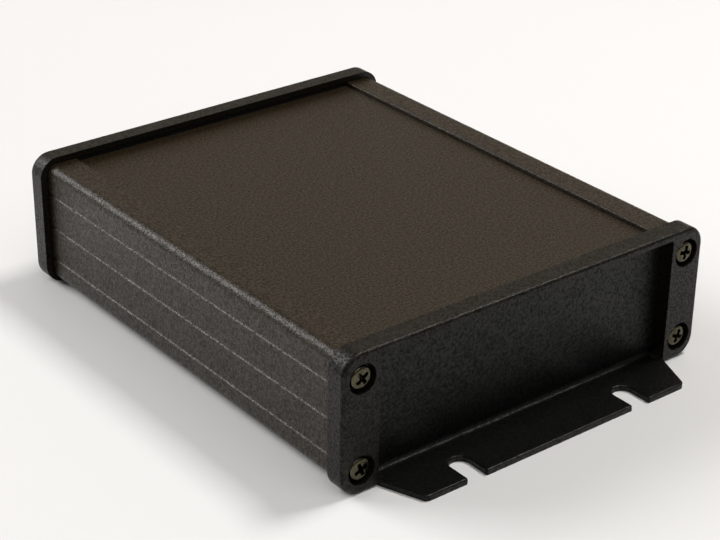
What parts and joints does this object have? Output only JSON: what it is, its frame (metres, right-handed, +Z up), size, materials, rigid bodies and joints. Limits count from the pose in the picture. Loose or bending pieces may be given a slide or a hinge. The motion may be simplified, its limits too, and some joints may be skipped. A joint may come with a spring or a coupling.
{
  "type": "aluminium enclosure",
  "caption": "Low black extruded enclosure with a slide-in cover plate, moulded end bezels and end panels folded out into slotted mounting flanges.",
  "frame": {"origin": "middle of the plane that the flanges and bezels stand on, under the middle of the box", "axes": "+X across the box to the right as seen from the front end, -Y towards the front end, +Z up"},
  "size_m": [0.109, 0.153, 0.0351],
  "materials": {
    "anodised_body": "black anodised extrusion with a fine matt grain",
    "anodised_cover": "black anodised plate with a fine matt grain",
    "anodised_panel": "smooth black anodised sheet with bright cut edges",
    "bezel_plastic": "black moulded plastic with a fine satin texture",
    "screw_steel": "black oxide with worn, brighter edges"
  },
  "bodies": {
    "root": {"body": "anodised_body", "cover_plate": "anodised_cover", "front_bezel": "bezel_plastic", "rear_bezel": "bezel_plastic", "front_flanged_panel": "anodised_panel", "rear_flanged_panel": "anodised_panel", "front_upper_left_screw": "screw_steel", "front_upper_right_screw": "screw_steel", "front_lower_left_screw": "screw_steel", "front_lower_right_screw": "screw_steel", "rear_upper_left_screw": "screw_steel", "rear_upper_right_screw": "screw_steel", "rear_lower_left_screw": "screw_steel", "rear_lower_right_screw": "screw_steel"}
  },
  "joints": []
}
